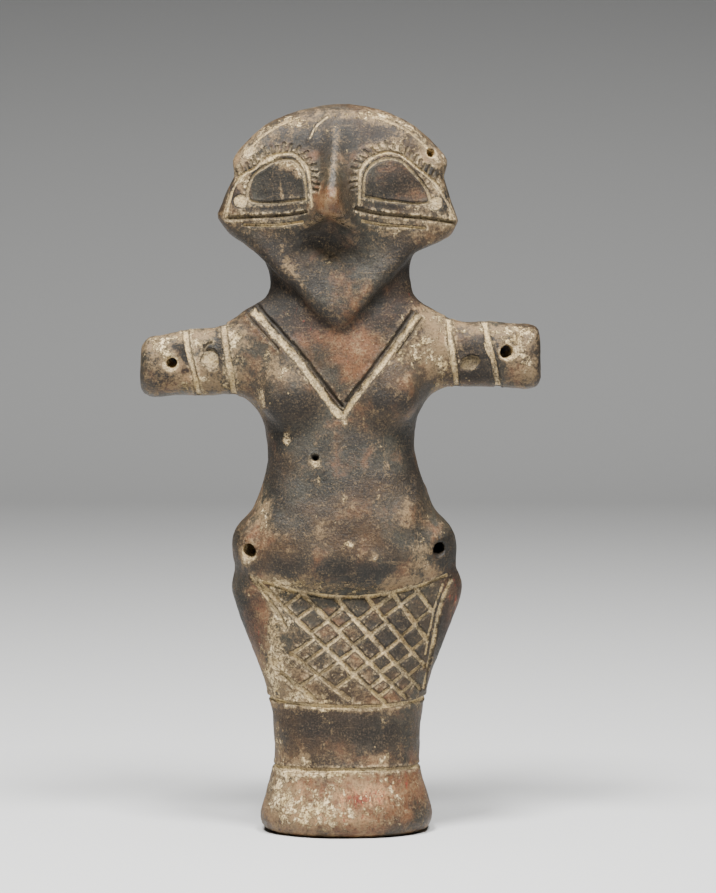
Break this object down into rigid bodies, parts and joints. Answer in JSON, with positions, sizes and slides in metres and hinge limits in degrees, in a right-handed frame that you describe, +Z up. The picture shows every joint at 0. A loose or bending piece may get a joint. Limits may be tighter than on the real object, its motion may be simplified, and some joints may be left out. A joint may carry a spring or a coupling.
{
  "type": "clay figurine",
  "caption": "Standing fired-clay figurine with a broad mask-like head, stub arms, pierced hips, an incised lattice apron and a flared foot.",
  "frame": {"origin": "middle of the flat sole that the figurine stands on", "axes": "+Z up, the way the figurine stands; the face looks along -Y; +X is the viewer's right when facing it"},
  "size_m": [0.0872, 0.0373, 0.1588],
  "materials": {
    "fired_clay": "burnished dark brown low-fired clay, mottled grey and reddish, with pale paste in the incised lines"
  },
  "bodies": {
    "root": {"clay_figurine": "fired_clay"}
  },
  "joints": []
}
